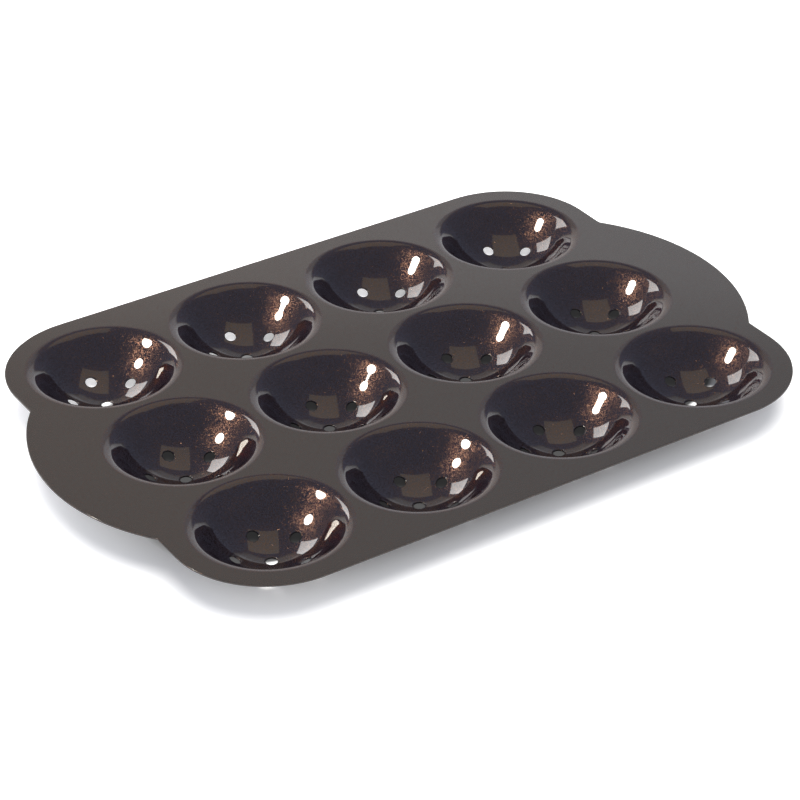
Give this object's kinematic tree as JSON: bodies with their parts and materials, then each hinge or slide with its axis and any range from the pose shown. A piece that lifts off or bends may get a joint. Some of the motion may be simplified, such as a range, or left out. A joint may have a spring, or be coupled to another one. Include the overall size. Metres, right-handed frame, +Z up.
{
  "type": "round-cup baking pan",
  "caption": "Flat steel sheet pan with rows of round, vented, half-ball cups and a rounded grip at each end, for baking or frying balls of dough and filled pancakes.",
  "frame": {"origin": "on the plane that the pan rests on, under the middle of the sheet", "axes": "+X along the long side, from grip to grip; +Y away from the front long side; +Z up, out of the cups' mouths"},
  "size_m": [0.399, 0.27, 0.0237],
  "materials": {
    "deck_finish": "satin warm grey non-stick coating with a fine speckle",
    "cup_finish": "glossy plum-black non-stick coating with copper metal flake"
  },
  "bodies": {
    "root": {"deck": "deck_finish", "cup_r1c1": "cup_finish", "cup_r1c2": "cup_finish", "cup_r1c3": "cup_finish", "cup_r1c4": "cup_finish", "cup_r2c1": "cup_finish", "cup_r2c2": "cup_finish", "cup_r2c3": "cup_finish", "cup_r2c4": "cup_finish", "cup_r3c1": "cup_finish", "cup_r3c2": "cup_finish", "cup_r3c3": "cup_finish", "cup_r3c4": "cup_finish"}
  },
  "joints": []
}
